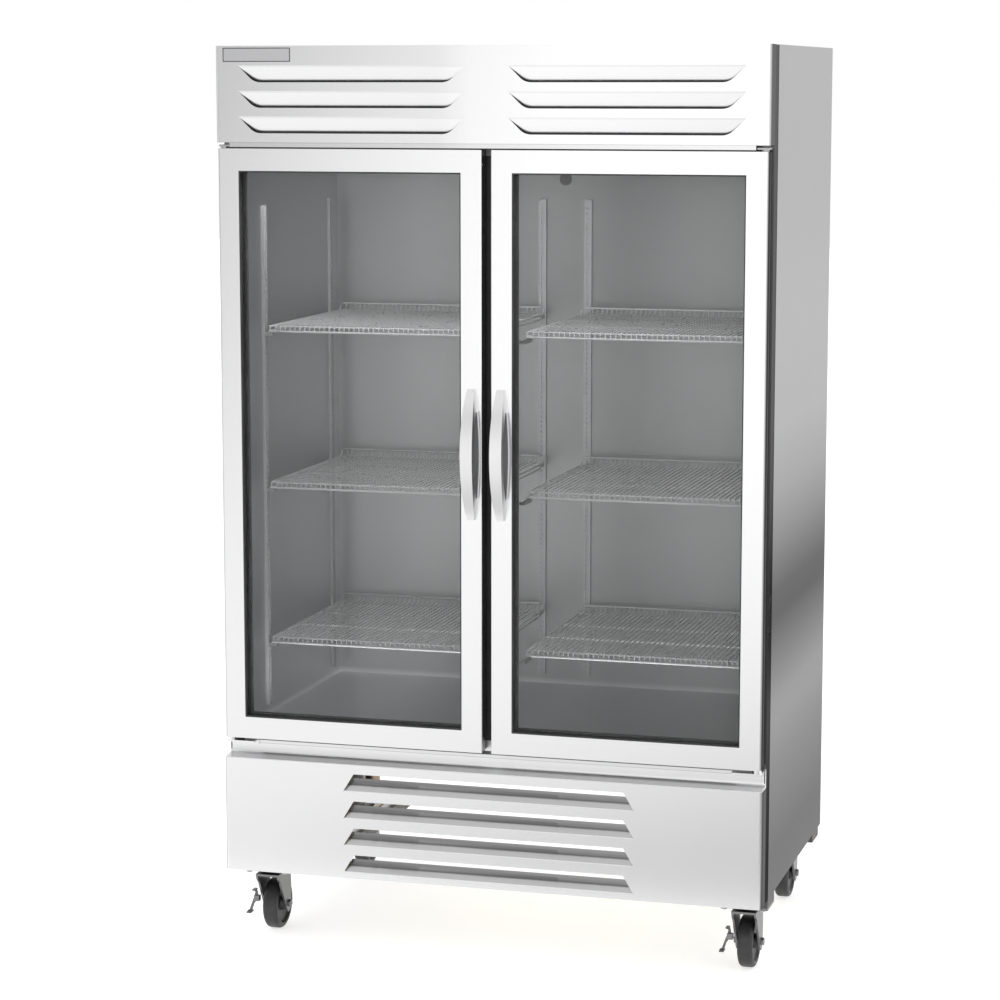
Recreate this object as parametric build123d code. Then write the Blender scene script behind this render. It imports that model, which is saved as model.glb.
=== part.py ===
from build123d import *
import os
from math import cos, radians

# Two-door reach-in refrigerator on casters, in millimetres.
# x runs from the cabinet's middle, y back from the doors' front face and z up from the floor.
# The parts are written out with y counted from the middle of the whole depth instead.

# ---- driving dimensions ----
WIDTH = 1320.8
HEIGHT = 2177.6
DEPTH = 825.6
SHEET = 1.2
CORNER_R = 7.0
HALF = WIDTH / 2

FACE_Y = 50.0
SKIRT_Z = 194.6
LOWER_TOP_Z = 473.9
DOOR_Z = (524.3, 1939.4)
DOOR_X = (11.1, 656.2)
GLASS_OPENING_X = (61.2, 605.9)
GLASS_OPENING_Z = (576.5, 1887.3)
HEADER_Z = 1943.0
HEADER_SEAM_Z = 1953.2

WALL = 47.0
LINER = 1.0
CAVITY_X = HALF - WALL
CAVITY_Y = (62.0, 730.0)
CAVITY_Z = (545.0, 1925.0)
COIL_BOX_X = 560.0
COIL_BOX_Y = (150.0, 730.0)
COIL_BOX_TOP = 2130.0

HANDLE_REACH = 50.0
HANDLE_LENGTH = 305.0
HANDLE_Z = 1234.0
HANDLE_X = 35.5

HINGE_X = 646.0
HINGE_Y = 14.0
HINGE_PIN_R = 5.0
RUNNING_FIT = 0.05

WHEEL_R = 63.5
WHEEL_W = 38.0
CASTER_TRAIL = 32.0
CASTER_FRONT = (598.5, 157.0)
CASTER_REAR = (572.0, 779.0)
CROWN_TOP_Z = 153.0
PLATE_Z = (160.0, 166.0)
AXLE_R = 6.0

SHELF_WIDTH = 550.0
SHELF_X = 323.6
SHELF_Y = (166.0, 700.0)
SHELF_Z = (745.0, 1129.0, 1511.0)
WIRE_PITCH = 25.0

DEPTH_ALL = HANDLE_REACH + CASTER_REAR[1] + CASTER_TRAIL + WHEEL_R
Y_MIDDLE = DEPTH_ALL / 2 - HANDLE_REACH

nodes = {}


# ---- helpers ----
def box(x, y, z):
    """A box between three (low, high) pairs."""
    size = [high - low for low, high in (x, y, z)]
    middle = [(high + low) / 2 for low, high in (x, y, z)]
    return Pos(*middle) * Box(*size)


def ring(x, y, z, hole_x, hole_z):
    """A frame in the door's plane: a box with a rectangular hole right through along y."""
    return box(x, y, z) - box(hole_x, (y[0] - 1, y[1] + 1), hole_z)


def cylinder(axis, centre, span, radius):
    """A cylinder along x, y or z; centre holds the two other coordinates in x, y, z order."""
    length = span[1] - span[0]
    middle = (span[1] + span[0]) / 2
    if axis == "x":
        return Pos(middle, *centre) * Rot(0, 90, 0) * Cylinder(radius, length)
    if axis == "y":
        return Pos(centre[0], middle, centre[1]) * Rot(90, 0, 0) * Cylinder(radius, length)
    return Pos(*centre, middle) * Cylinder(radius, length)


def along_x(outline, x):
    """A flat sketch drawn in (y, z), drawn out along x."""
    return extrude(Plane.YZ.offset(x[0]) * outline, amount=x[1] - x[0])


def along_y(outline, y):
    """A flat sketch drawn in (x, z), drawn out along y."""
    return extrude(Plane.XZ.offset(-y[0]) * outline, amount=-(y[1] - y[0]))


def polygon(*points):
    return make_face(Polyline(*points, close=True))


def other_side(shape):
    return mirror(shape, about=Plane.YZ)


def pair(name, right_shape):
    """Adds a right-hand part and its mirror image on the left."""
    nodes["right_" + name] = right_shape
    nodes["left_" + name] = other_side(right_shape)


def fused(shapes):
    return Part() + list(shapes)


# ---- cabinet shell ----
def outer_side():
    """Right side skin: main sheet, a front strip set in by half a sheet, front and rear returns."""
    strip_y = 90.7
    z = (SKIRT_Z, HEIGHT - SHEET)
    main = box((HALF - SHEET, HALF), (strip_y - 1, DEPTH - SHEET), z)
    strip = box((HALF - 1.5 * SHEET, HALF - SHEET / 2), (FACE_Y, strip_y), z)
    front = box((CAVITY_X + 14, HALF - SHEET / 2), (FACE_Y, FACE_Y + SHEET), z)
    rear = box((HALF - 16, HALF), (DEPTH - 2 * SHEET, DEPTH - SHEET), z)
    return fused([main, strip, front, rear])


def top_panel():
    """Lid with a front flange that closes the cabinet's face behind the header."""
    lid = box((-HALF, HALF), (FACE_Y, DEPTH), (HEIGHT - SHEET, HEIGHT))
    face = CAVITY_X + 13.8
    flange = box((-face, face), (FACE_Y, FACE_Y + SHEET), (CAVITY_Z[1] + 18.2, HEIGHT))
    return lid + flange


def back_panel():
    """Rear sheet down to the machine space, which stays open for air."""
    return box((-HALF, HALF), (DEPTH - SHEET, DEPTH), (LOWER_TOP_Z, HEIGHT - SHEET))


def foam_insulation():
    inner = HALF - 1.5 * SHEET
    whole = box((-inner, inner), (FACE_Y + SHEET, DEPTH - 2 * SHEET), (LOWER_TOP_Z, HEIGHT - SHEET))
    cavity_x = CAVITY_X + LINER
    storage = box(
        (-cavity_x, cavity_x),
        (FACE_Y, CAVITY_Y[1] + LINER),
        (CAVITY_Z[0] - LINER, CAVITY_Z[1] + LINER),
    )
    coil_x = COIL_BOX_X + LINER
    coil_space = box(
        (-coil_x, coil_x),
        (COIL_BOX_Y[0] - LINER, COIL_BOX_Y[1] + LINER),
        (CAVITY_Z[1], COIL_BOX_TOP + LINER),
    )
    sill_space = box((-HALF, HALF), (0, CAVITY_Y[0]), (0, CAVITY_Z[0]))
    strip_x = CAVITY_X + 14
    strips = box((-strip_x, strip_x), (FACE_Y, CAVITY_Y[0]), (CAVITY_Z[0], CAVITY_Z[1] + 18))
    return whole - storage - coil_space - sill_space - strips


def inner_liner():
    """Flat liner panels: five round the storage space and five round the evaporator space."""
    x_in, x_out = CAVITY_X, CAVITY_X + LINER
    y_front, y_back = CAVITY_Y
    z_low, z_high = CAVITY_Z
    side = box((x_in, x_out), (y_front, y_back), (z_low, z_high))
    floor = box((-x_out, x_out), (y_front, y_back + LINER), (z_low - LINER, z_low))
    rear = box((-x_out, x_out), (y_back, y_back + LINER), (z_low, COIL_BOX_TOP))
    rear = rear - box((COIL_BOX_X + LINER, HALF), (0, DEPTH), (z_high + LINER, HEIGHT))
    rear = rear - box((-HALF, -COIL_BOX_X - LINER), (0, DEPTH), (z_high + LINER, HEIGHT))
    shelf_front = box((-x_out, x_out), (y_front, COIL_BOX_Y[0]), (z_high, z_high + LINER))
    shelf_side = box((COIL_BOX_X, x_out), (COIL_BOX_Y[0], y_back), (z_high, z_high + LINER))
    coil_x = (COIL_BOX_X, COIL_BOX_X + LINER)
    coil_side = box(coil_x, (COIL_BOX_Y[0], y_back), (z_high + LINER, COIL_BOX_TOP))
    coil_front = box(
        (-coil_x[1], coil_x[1]),
        (COIL_BOX_Y[0] - LINER, COIL_BOX_Y[0]),
        (z_high + LINER, COIL_BOX_TOP),
    )
    coil_top = box(
        (-coil_x[1], coil_x[1]),
        (COIL_BOX_Y[0] - LINER, y_back + LINER),
        (COIL_BOX_TOP, COIL_BOX_TOP + LINER),
    )
    panels = [floor, rear, shelf_front, coil_front, coil_top]
    for panel in (side, shelf_side, coil_side):
        panels += [panel, other_side(panel)]
    return Compound(panels)


def breaker_strips():
    """Plastic strips that bridge the steel face and the liner on all four sides of the opening."""
    x_in, x_out = CAVITY_X, CAVITY_X + 14
    y = (FACE_Y, CAVITY_Y[0])
    z_low, z_high = CAVITY_Z
    right = box((x_in, x_out), y, (z_low, z_high + 18))
    right = chamfer(right.edges().filter_by(Axis.Z).sort_by(lambda e: e.center().X + e.center().Y)[0], 3.0)
    top = box((-x_in, x_in), y, (z_high, z_high + 18))
    return Compound([right, other_side(right), top])


def door_sill():
    """Ledge under the doors: an upright face that sweeps forward to the lower panel's top edge."""
    y_back = CAVITY_Y[0]
    z_low, z_high = LOWER_TOP_Z, CAVITY_Z[0] - LINER
    lines = [
        Line((1.0, z_low), (1.0, z_low + 1.6)),
        Line((1.0, z_low + 1.6), (34.0, z_low + 5.2)),
        ThreePointArc((34.0, z_low + 5.2), (39.8, z_low + 7.9), (42.0, z_low + 14.0)),
        Line((42.0, z_low + 14.0), (42.0, 512.0)),
        Line((42.0, 512.0), (FACE_Y, 519.0)),
        Line((FACE_Y, 519.0), (FACE_Y, z_high)),
        Line((FACE_Y, z_high), (y_back, z_high)),
        Line((y_back, z_high), (y_back, z_low)),
        Line((y_back, z_low), (1.0, z_low)),
    ]
    inner = HALF - SHEET / 2
    body = along_x(make_face(lines), (-inner, inner))
    side_skin = box((CAVITY_X + 13.9, HALF), (FACE_Y - 0.01, 100), (0, HEIGHT))
    return body - side_skin - other_side(side_skin)


def mullion_post():
    """Centre post that both door gaskets close against, narrower at the back."""
    z = CAVITY_Z
    front, back, middle = 38.0, 22.0, 84.0
    outline = polygon(
        (-front, FACE_Y), (front, FACE_Y), (front, middle), (back, middle + 22),
        (-back, middle + 22), (-front, middle),
    )
    return extrude(Plane.XY.offset(z[0]) * outline, amount=z[1] - z[0])


def interior_lamps():
    """An upright LED strip on each side of the mullion."""
    z = (640.0, 1830.0)
    lamp = box((38.0, 46.0), (62.0, 80.0), z)
    lamp = chamfer(lamp.edges().filter_by(Axis.Z).group_by(Axis.X)[-1], 3.0)
    return Compound([lamp, other_side(lamp)])


# ---- louvred panels ----
def tray(z, back):
    """Front sheet with side, top and bottom returns and rounded upright corners."""
    whole = box((-HALF, HALF), (0, back), z)
    whole = fillet(whole.edges().filter_by(Axis.Z).group_by(Axis.Y)[0], CORNER_R)
    hollow = box((SHEET - HALF, HALF - SHEET), (SHEET, back + 10), (z[0] - 1, z[1] + 1))
    hollow = fillet(hollow.edges().filter_by(Axis.Z).group_by(Axis.Y)[0], CORNER_R - SHEET)
    top = whole & box((-HALF, HALF), (0, back), (z[1] - SHEET, z[1]))
    bottom = whole & box((-HALF, HALF), (0, 16), (z[0], z[0] + SHEET))
    return [whole - hollow, top, bottom]


def header_panel():
    """Header with two groups of three louvres hinged at their top edges."""
    panel = fused(tray((HEADER_Z, HEIGHT), FACE_Y))
    seam = box((-HALF, HALF), (-1, 0.7), (HEADER_SEAM_Z - 0.7, HEADER_SEAM_Z + 0.7))
    notch = box((HALF - 33, HALF + 1), (-1, FACE_Y + 1), (HEADER_Z - 1, HEADER_SEAM_Z))
    panel = panel - seam - notch - other_side(notch)
    height, lean, kerf = 39.0, 17.0, 3.0
    top_x, bottom_x = (51.0, 605.0), (91.0, 564.0)
    blades = []
    for top_z in (2014.0, 2073.0, 2132.0):
        for side in (-1, 1):
            corners = [
                (side * top_x[0], 0), (side * top_x[1], 0),
                (side * bottom_x[1], -height), (side * bottom_x[0], -height),
            ]
            outline = polygon(*corners)
            outline = fillet(outline.vertices().sort_by(Axis.Y)[:2], 38.0)
            hole = Pos(0, 0, top_z) * along_y(outline, (-1, SHEET + 1))
            panel = panel - hole
            trimmed = outline - Pos(0, -height) * Rectangle(WIDTH, 2 * kerf)
            flap = along_y(trimmed, (0, SHEET))
            blades.append(Pos(0, 0, top_z) * Rot(lean, 0, 0) * flap)
    return fused([panel] + blades)


def lower_panel():
    """Skirt panel with four wide louvres hinged at their bottom edges and curled inward."""
    panel = fused(tray((SKIRT_Z, LOWER_TOP_Z), FACE_Y))
    bottom_half, top_half, height = 358.3, 332.0, 43.5
    blade_top = 31.0
    section = make_face([
        Spline((0.0, 0.0), (9.0, 12.0), (16.5, blade_top), tangents=[(0.9, 0.5), (0.1, 1.0)]),
        Line((16.5, blade_top), (15.2, blade_top)),
        Spline((0.0, 1.4), (7.7, 12.7), (15.2, blade_top), tangents=[(0.9, 0.6), (0.1, 1.0)]),
        Line((0.0, 1.4), (0.0, 0.0)),
    ])
    hole = polygon((-bottom_half, 0), (bottom_half, 0), (top_half, height), (-top_half, height))
    margin = polygon(
        (-bottom_half, -2), (bottom_half, -2), (top_half, height + 5), (-top_half, height + 5)
    )
    blade = along_x(section, (-bottom_half, bottom_half)) & along_y(margin, (-5, 40))
    blades = []
    for bottom_z in (209.0, 275.3, 341.9, 408.5):
        panel = panel - Pos(0, 0, bottom_z) * along_y(hole, (-1, SHEET + 1))
        blades.append(Pos(0, 0, bottom_z - 0.4) * blade)
    return fused([panel] + blades)


def nameplate():
    """Blank plate with a raised rim, at the header's upper left."""
    x, z = (-641.1, -474.2), (2140.4, 2172.9)
    plate = box(x, (-1.6, 0), z)
    recess = box((x[0] + 2, x[1] - 2), (-2, -1.0), (z[0] + 2, z[1] - 2))
    return plate - recess


# ---- evaporator ----
def fin_pack(x, y, z, fins, tube_rows, tube_radius):
    """Plate fins on straight tubes along x with end bends, as in a tube-and-fin coil."""
    pitch = (x[1] - x[0]) / (fins - 1)
    plates = [box((x[0] + i * pitch - 0.4, x[0] + i * pitch + 0.4), y, z) for i in range(fins)]
    step = (z[1] - z[0]) / tube_rows
    middle = (y[0] + y[1]) / 2
    tubes = []
    for row in range(tube_rows):
        height = z[0] + (row + 0.5) * step
        tubes.append(cylinder("x", (middle, height), (x[0] - 8, x[1] + 8), tube_radius))
    return fused(plates + tubes)


def evaporator_coil():
    return fin_pack((-420.0, 420.0), (480.0, 600.0), (1950.0, 2110.0), 41, 5, 6.0)


EVAPORATOR_FAN_X = 215.0
EVAPORATOR_FAN_Z = 2028.0
EVAPORATOR_FAN_R = 76.0
EVAPORATOR_FAN_Y = (352.0, 376.0)


def evaporator_housing():
    """Ceiling panel with intake and discharge slots, and the upright plate that rings the fans."""
    ceiling = box((-COIL_BOX_X, COIL_BOX_X), COIL_BOX_Y, (CAVITY_Z[1], CAVITY_Z[1] + SHEET))
    cuts = []
    for i in range(9):
        slot_y = 180.0 + 14.0 * i
        for x in ((-420.0, -40.0), (40.0, 420.0)):
            cuts.append(box(x, (slot_y, slot_y + 6), (0, HEIGHT)))
    cuts.append(box((-480.0, 480.0), (650.0, 706.0), (0, HEIGHT)))
    plate = box((-COIL_BOX_X, COIL_BOX_X), (360.0, 361.2), (CAVITY_Z[1], COIL_BOX_TOP - 2))
    for side in (-1, 1):
        centre = (side * EVAPORATOR_FAN_X, EVAPORATOR_FAN_Z)
        cuts.append(cylinder("y", centre, (350, 370), EVAPORATOR_FAN_R + 5))
    return ceiling + plate - cuts


def fan(centre, y, radius, hub_radius, blades, shaft_radius):
    """Axial fan turning about y: a bored hub with pitched blades."""
    x0, z0 = centre
    middle = (y[0] + y[1]) / 2
    hub = cylinder("y", (0, 0), (-9, 9), hub_radius)
    blade = Pos(0, 0, (hub_radius + radius) / 2) * Rot(0, 0, 32) * Box(
        0.72 * radius, 1.6, radius - hub_radius + 4
    )
    blade = blade & cylinder("y", (0, 0), (-11, 11), radius)
    wheel = fused([hub] + [Rot(0, 360 / blades * i, 0) * blade for i in range(blades)])
    wheel = wheel - cylinder("y", (0, 0), (-20, 20), shaft_radius + RUNNING_FIT)
    return Pos(x0, middle, z0) * wheel


def motor(centre, y, radius, shaft_end, shaft_radius):
    """Motor can along y with a rounded rear, and the shaft that carries its fan."""
    can = cylinder("y", centre, y, radius)
    can = fillet(can.edges().filter_by(GeomType.CIRCLE), 4.0)
    shaft_y = (min(y[0], shaft_end), max(y[1], shaft_end))
    return can + cylinder("y", centre, shaft_y, shaft_radius)


def evaporator_fan_motors():
    """Both motors, each on a strap bolted across the back of its fan ring."""
    units = []
    for side in (-1, 1):
        centre = (side * EVAPORATOR_FAN_X, EVAPORATOR_FAN_Z)
        unit = motor(centre, (394.0, 440.0), 30.0, 352.0, 4.0)
        strap = box(
            (centre[0] - 12, centre[0] + 12), (440.0, 443.0),
            (EVAPORATOR_FAN_Z - 96, EVAPORATOR_FAN_Z + 96),
        )
        feet = []
        for up in (-1, 1):
            end = EVAPORATOR_FAN_Z + up * 94.0
            feet.append(
                box((centre[0] - 12, centre[0] + 12), (361.2, 440.0), (end - 2, end + 2))
            )
        units.append(fused([unit, strap] + feet))
    return Compound(units)


# ---- base and condensing unit ----
def channel(x, y, z, wall):
    """A steel channel along x or y, open at the bottom."""
    solid = box(x, y, z)
    if x[1] - x[0] > y[1] - y[0]:
        return solid - box((x[0] - 1, x[1] + 1), (y[0] + wall, y[1] - wall), (z[0] - 1, z[1] - wall))
    return solid - box((x[0] + wall, x[1] - wall), (y[0] - 1, y[1] + 1), (z[0] - 1, z[1] - wall))


def base_frame():
    """Two side rails, a front angle, a rear rail and a pad over each caster."""
    rail_z = (196.0, 226.0)
    side = channel((590.0, 655.0), (FACE_Y + 26, DEPTH - 2 * SHEET - 26), rail_z, 3.0)
    front = box((-655.0, 655.0), (FACE_Y + 2, FACE_Y + 26), (196.0, 199.0))
    front = front + box((-655.0, 655.0), (FACE_Y + 2, FACE_Y + 5), (196.0, 222.0))
    rear = channel((-655.0, 655.0), (DEPTH - 2 * SHEET - 26, DEPTH - 2 * SHEET), rail_z, 3.0)
    middle = channel((-445.0, -415.0), (FACE_Y + 26, DEPTH - 2 * SHEET - 26), rail_z, 3.0)
    pieces = [side, other_side(side), middle, front, rear]
    for centre_x, centre_y in (CASTER_FRONT, CASTER_REAR):
        pad_y = (centre_y - 42, min(centre_y + 42, DEPTH - 2 * SHEET))
        pad = box((centre_x - 57, 655.6), pad_y, (PLATE_Z[1], rail_z[0]))
        pieces += [pad, other_side(pad)]
    return Compound(pieces)


def condensing_unit_tray():
    """Folded steel tray, laid across the left side rail and the middle rail, under the machinery."""
    x, y = (-652.0, -425.0), (78.0, 760.0)
    floor = box(x, y, (226.0, 229.0))
    lip = box((x[1] - 2, x[1]), y, (226.0, 244.0))
    return floor + lip


def compressor():
    """Welded steel pot with a domed lid, a foot plate, four rubber feet and a terminal cover."""
    x, y, radius = -535.0, 430.0, 84.0
    pot = Pos(x, y, 325.0) * Cylinder(radius, 150.0)
    pot = fillet(pot.edges().group_by(Axis.Z)[-1], 38.0)
    pot = fillet(pot.edges().group_by(Axis.Z)[0], 20.0)
    seam = Pos(x, y, 318.0) * Cylinder(radius + 3, 6.0)
    plate = box((x - 90, x + 90), (y - 70, y + 70), (247.0, 251.0))
    feet = [
        Pos(x + dx, y + dy, 238.0) * Cylinder(11.0, 18.0)
        for dx in (-76, 76)
        for dy in (-56, 56)
    ]
    cover = box((x - 30, x + 30), (y - radius - 22, y - radius + 30), (280.0, 350.0))
    stub = cylinder("z", (x + 30, y + 30), (390.0, 418.0), 5.0)
    return fused([pot, seam, plate, cover, stub] + feet)


CONDENSER_X = (-640.0, -428.5)
CONDENSER_Z = (230.0, 436.0)
CONDENSER_FAN = (-534.0, 333.0)
CONDENSER_FAN_R = 84.0


def condenser_coil():
    span = (CONDENSER_X[0] + 10.5, CONDENSER_X[1] - 10.5)
    return fin_pack(span, (84.0, 124.0), CONDENSER_Z, 30, 6, 5.0)


def condenser_shroud():
    """Sheet-metal box behind the coil with a round outlet for the fan."""
    x, z = CONDENSER_X, (229.0, 440.0)
    plate = box(x, (146.0, 147.5), z)
    plate = plate - cylinder("y", CONDENSER_FAN, (140, 155), CONDENSER_FAN_R + 5)
    side = box((x[1] - 1.5, x[1]), (84.0, 146.0), z)
    other = box((x[0], x[0] + 1.5), (84.0, 146.0), z)
    top = box(x, (84.0, 146.0), (z[1] - 1.5, z[1]))
    return fused([plate, side, other, top])


def condenser_fan_motor():
    """Motor on a bracket that stands on the tray."""
    x, z = CONDENSER_FAN
    unit = motor(CONDENSER_FAN, (180.0, 240.0), 40.0, 142.0, 4.0)
    post = box((x - 20, x + 20), (205.0, 209.0), (229.0, z - 30))
    foot = box((x - 20, x + 20), (205.0, 235.0), (229.0, 232.0))
    return fused([unit, post, foot])


def tube(points, radius, bend):
    path = FilletPolyline(*points, radius=bend)
    return sweep(Plane(origin=path @ 0, z_dir=path % 0) * Circle(radius), path=path)


def refrigerant_lines():
    """Discharge, liquid and suction lines, with the filter drier in the liquid line."""
    discharge = tube(
        [(-505, 460, 418), (-505, 460, 452), (-450, 460, 452), (-450, 104, 452), (-450, 104, 440)],
        4.0, 10.0,
    )
    suction = tube(
        [(-560, 470, 400.1), (-560, 470, 455), (-560, 700, 455), (-560, 700, LOWER_TOP_Z)], 6.0, 12.0
    )
    drier = cylinder("z", (-470, 560), (272.0, 382.0), 19.0)
    drier = fillet(drier.edges().filter_by(GeomType.CIRCLE), 12.0)
    inlet = tube(
        [(-470, 560, 274), (-470, 560, 240), (-440, 560, 240), (-440, 147.6, 240)], 4.0, 10.0
    )
    outlet = cylinder("z", (-470, 560), (380.0, LOWER_TOP_Z), 4.0)
    return Compound([discharge, suction, fused([drier, inlet, outlet])])


def electrical_box():
    """Wiring box at the back of the tray with a cover, and the power inlet's gland on its rear."""
    x, y, z = (-645.0, -560.0), (664.0, 752.0), (229.0, 380.0)
    shell = box(x, y, z)
    shell = chamfer(shell.edges().filter_by(Axis.Y), 3.0)
    cover = box((x[1], x[1] + 2), (y[0] + 4, y[1] - 4), (z[0] + 4, z[1] - 4))
    gland = cylinder("y", (-602.0, 262.0), (752.0, 776.0), 11.0)
    hexagon = extrude(RegularPolygon(16.0, 6), amount=5, both=True)
    nut = Pos(-602.0, 757.0, 262.0) * Rot(90, 0, 0) * hexagon
    bore = cylinder("y", (-602.0, 262.0), (756.0, 780.0), 5.0)
    return fused([shell, cover, gland, nut]) - bore


# ---- doors ----
PANE_X = (53.0, 614.2)
PANE_Z = (568.3, 1895.5)
PANE_Y = (13.0, 41.0)


def door_frame():
    """Steel-faced ring with rounded edges, a rebate for the glass and bores for the hinge pins."""
    frame = ring(DOOR_X, (0, 24), DOOR_Z, GLASS_OPENING_X, GLASS_OPENING_Z)
    rim = frame.edges().filter_by(Axis.Z).filter_by(lambda e: e.center().Y < 1)
    frame = fillet(rim.sort_by(Axis.X)[0], 2.5)
    rim = frame.edges().filter_by(Axis.Z).filter_by(lambda e: e.center().Y < 1)
    frame = fillet(rim.sort_by(Axis.X)[-1], 2.5)
    frame = frame - box(PANE_X, (PANE_Y[0], 25), PANE_Z)
    for z in ((DOOR_Z[0] - 1, DOOR_Z[0] + 15), (DOOR_Z[1] - 15, DOOR_Z[1] + 1)):
        frame = frame - cylinder("z", (HINGE_X, HINGE_Y), z, HINGE_PIN_R + RUNNING_FIT)
    return frame


def door_inner_frame():
    """Moulded inner half of the door that clamps the glass from behind."""
    x = (DOOR_X[0] + 2, DOOR_X[1] - 2)
    z = (DOOR_Z[0] + 2, DOOR_Z[1] - 2)
    lip_x = (GLASS_OPENING_X[0] + 5, GLASS_OPENING_X[1] - 5)
    lip_z = (GLASS_OPENING_Z[0] + 5, GLASS_OPENING_Z[1] - 5)
    frame = ring(x, (24, 46), z, lip_x, lip_z)
    return frame - box(PANE_X, (23, PANE_Y[1]), PANE_Z)


def door_glass():
    """Insulated glass unit: two panes with a spacer frame between them."""
    outer = box(PANE_X, (PANE_Y[0], PANE_Y[0] + 4), PANE_Z)
    inner = box(PANE_X, (PANE_Y[1] - 4, PANE_Y[1]), PANE_Z)
    gap_y = (PANE_Y[0] + 4, PANE_Y[1] - 4)
    spacer = ring(
        PANE_X, gap_y, PANE_Z,
        (PANE_X[0] + 9, PANE_X[1] - 9),
        (PANE_Z[0] + 9, PANE_Z[1] - 9),
    )
    return Compound([outer, spacer, inner])


def door_gasket():
    """Magnetic gasket with a hollow bulb line, closed against the cabinet face."""
    x = (DOOR_X[0] + 3, HINGE_X - 1)
    z = (DOOR_Z[0] + 5, DOOR_Z[1] - 5)
    body = ring(x, (46, FACE_Y), z, (x[0] + 16, x[1] - 16), (z[0] + 16, z[1] - 16))
    groove = ring(
        (x[0] + 6, x[1] - 6), (48.6, FACE_Y + 1), (z[0] + 6, z[1] - 6),
        (x[0] + 9, x[1] - 9), (z[0] + 9, z[1] - 9),
    )
    return body - groove


def door_handle():
    """Cast bow handle: a lens-shaped base and a bow with a finger opening behind it."""
    half = HANDLE_LENGTH / 2

    def lens(end, middle):
        right = ThreePointArc((end, half), (middle, 0), (end, -half))
        left = ThreePointArc((-end, -half), (-middle, 0), (-end, half))
        return make_face([right, Line((end, -half), (-end, -half)), left, Line((-end, half), (end, half))])

    base = Plane.XZ * lens(9.0, 19.5)
    crown = Plane.XZ.offset(HANDLE_REACH) * lens(7.5, 14.5)
    block = loft([base, crown])
    end_reach = 9.0
    side = make_face([
        Line((0, -half), (0, half)),
        Line((0, half), (-end_reach, half)),
        ThreePointArc((-end_reach, half), (-HANDLE_REACH, 0), (-end_reach, -half)),
        Line((-end_reach, -half), (0, -half)),
    ])
    bow = block & along_x(side, (-30, 30))
    grip_half = 116.0
    opening = make_face([
        Line((-4.5, -grip_half), (-4.5, grip_half)),
        ThreePointArc((-4.5, grip_half), (-39.0, 0), (-4.5, -grip_half)),
    ])
    opening = fillet(opening.vertices(), 5.0)
    bow = bow - along_x(opening, (-30, 30))
    return Pos(HANDLE_X, 0, HANDLE_Z) * bow


def top_hinge():
    """Bracket on the cabinet face with the pin that enters the door's top."""
    flange = box((HALF - 31, HALF - 8), (FACE_Y - 4, FACE_Y), (1943.8, 1985.0))
    arm = box((HALF - 31, HALF - 4.5), (5.0, FACE_Y), (1943.8, 1948.0))
    pin = cylinder("z", (HINGE_X, HINGE_Y), (DOOR_Z[1] - 13.0, 1944.0), HINGE_PIN_R)
    collar = cylinder("z", (HINGE_X, HINGE_Y), (DOOR_Z[1] + 0.6, 1944.0), 9.0)
    return fused([flange, arm, pin, collar])


def bottom_hinge():
    """Bracket on the sill with the pin and self-closing cam block under the door."""
    flange = box((HALF - 74, HALF - 8), (38.0, 42.0), (502.0, 515.0))
    arm = box((HALF - 74, HALF - 4.5), (5.0, 42.0), (512.0, 516.0))
    cam = cylinder("z", (HINGE_X, HINGE_Y), (515.0, DOOR_Z[0] - 0.5), 9.5)
    pin = cylinder("z", (HINGE_X, HINGE_Y), (515.0, DOOR_Z[0] + 13.0), HINGE_PIN_R)
    return fused([flange, arm, cam, pin])


# ---- shelving ----
def wire_shelf():
    """Coated wire shelf: wires front to back, with a dropped front rail and a raised rear rail."""
    heavy, fine = 2.5, 1.7
    half = SHELF_WIDTH / 2
    front, back = SHELF_Y
    step = 15.0
    low = fine + heavy - 0.9
    count = int((SHELF_WIDTH - 16) / WIRE_PITCH) + 1
    first = -WIRE_PITCH * (count - 1) / 2
    pieces = []
    for i in range(count):
        pieces.append(cylinder("y", (first + i * WIRE_PITCH, 0), (front + 5, back - 4), fine))
    for y in (front + 10, 350.0, 520.0, back - 8):
        pieces.append(cylinder("x", (y, -low), (-half + 1, half - 1), heavy))
    pieces.append(cylinder("x", (front, -step), (-half, half), heavy))
    pieces.append(cylinder("x", (back, step), (-half + 8, half - 8), heavy))
    for side in (-1, 1):
        pieces.append(cylinder("y", (side * (half - 3), -low), (front + 6, back - 4), heavy))
    for x in (14 - half, -90.0, 90.0, half - 14):
        tie = (x - 1.5, x + 1.5)
        pieces.append(box(tie, (front - 1, front + 11), (-step - 1, 1 - low)))
        pieces.append(box(tie, (back - 9, back + 1), (-low - 1, step + 1)))
    return fused(pieces)


PILASTER_Z = (571.0, 1799.0)
SLOT_PITCH = 50.8


def pilaster():
    """Slotted channel, its back at y = 0, open to the wall behind it."""
    length = PILASTER_Z[1] - PILASTER_Z[0]
    strip = box((-10, 10), (-7, 0), PILASTER_Z) - box((-8.8, 8.8), (-5.8, 1), (0, HEIGHT))
    count = int((length - 20) / SLOT_PITCH)
    slots = [
        box((-3, 3), (-8, -5), (z - 1.6, z + 1.6))
        for z in (PILASTER_Z[0] + 12 + SLOT_PITCH * i for i in range(count))
    ]
    return strip - slots


def pilasters():
    """Four on the side walls, two on the rear wall and two on the back of the mullion."""
    strip = pilaster()
    fitted = []
    for y in (176.0, 662.0):
        right = Pos(CAVITY_X, y, 0) * Rot(0, 0, -90) * strip
        fitted += [right, other_side(right)]
    for x in (-59.6, 59.6):
        fitted.append(Pos(x, CAVITY_Y[1], 0) * strip)
    for x in (-11.0, 11.0):
        fitted.append(Pos(x, 106.0, 0) * Rot(0, 0, 180) * strip)
    return Compound(fitted)


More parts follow.
